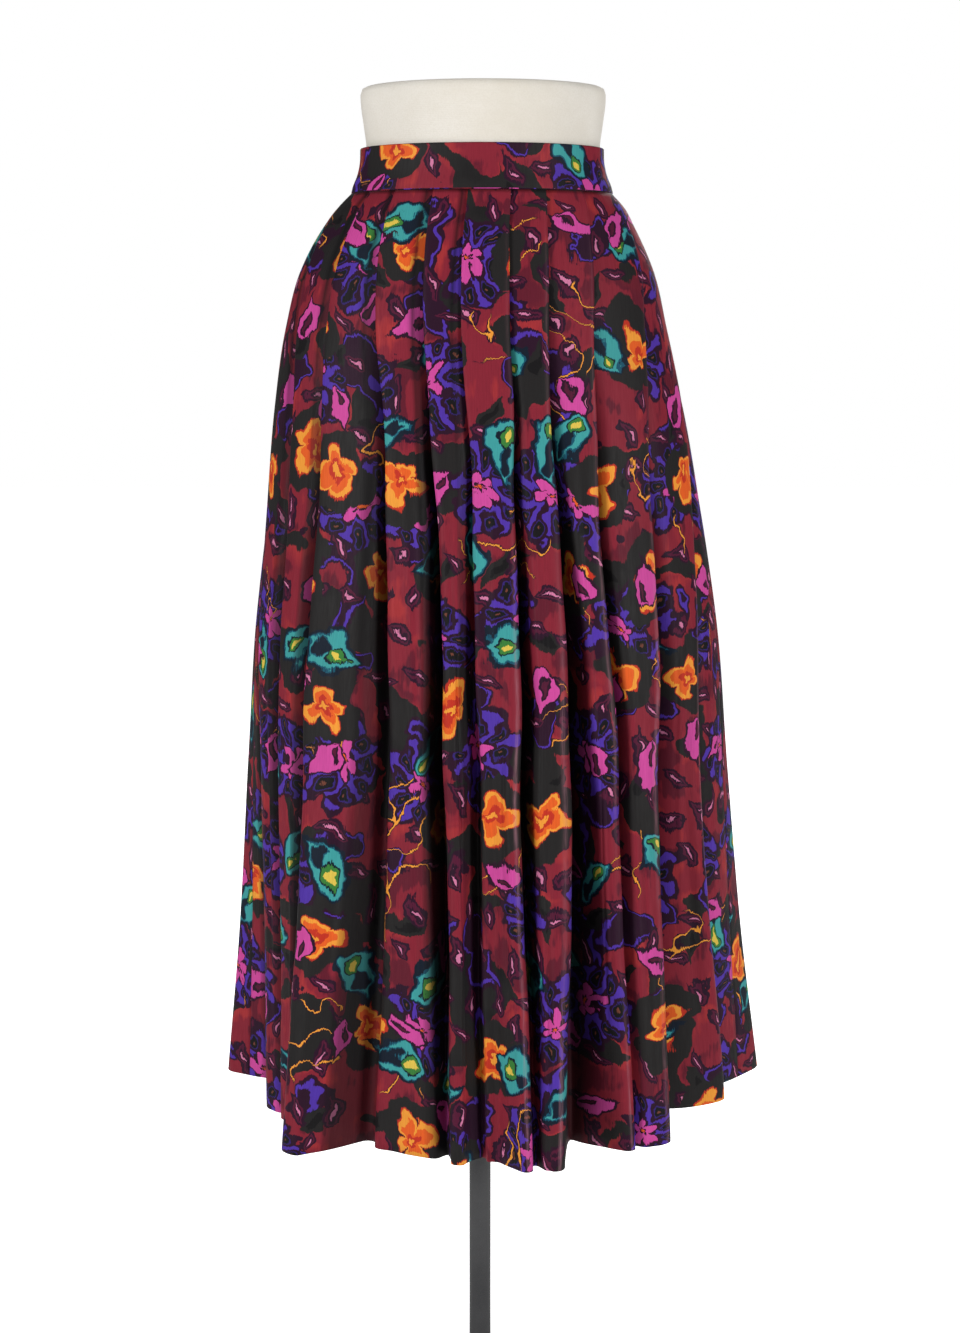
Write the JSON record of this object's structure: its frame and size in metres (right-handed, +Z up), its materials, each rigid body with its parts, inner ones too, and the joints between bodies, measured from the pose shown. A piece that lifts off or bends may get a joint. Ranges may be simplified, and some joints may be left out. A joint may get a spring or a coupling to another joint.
{
  "type": "pleated midi skirt on a limbless dress form",
  "caption": "Pleated midi skirt with a plain waistband, knife folds opening into deep flutes, on a limbless waist and hip form with a pole and a round base.",
  "frame": {"origin": "middle of the base's underside, on the surface that it stands on", "axes": "+Z up along the pole; the skirt's front faces -Y, and +X is the viewer's right"},
  "size_m": [0.5426, 0.505, 1.366],
  "materials": {
    "skirt_cloth": "printed soft rayon or silk, slight sheen",
    "button_plastic": "polished dark plastic",
    "form_cover": "cream jersey cover, matte",
    "stand_metal": "dark grey powder coat"
  },
  "bodies": {
    "root": {"front_panel": "skirt_cloth", "back_panel": "skirt_cloth", "waistband": "skirt_cloth", "button": "button_plastic", "dress_form": "form_cover", "form_flange": "stand_metal", "pole": "stand_metal", "foot_socket": "stand_metal", "base": "stand_metal"}
  },
  "joints": []
}
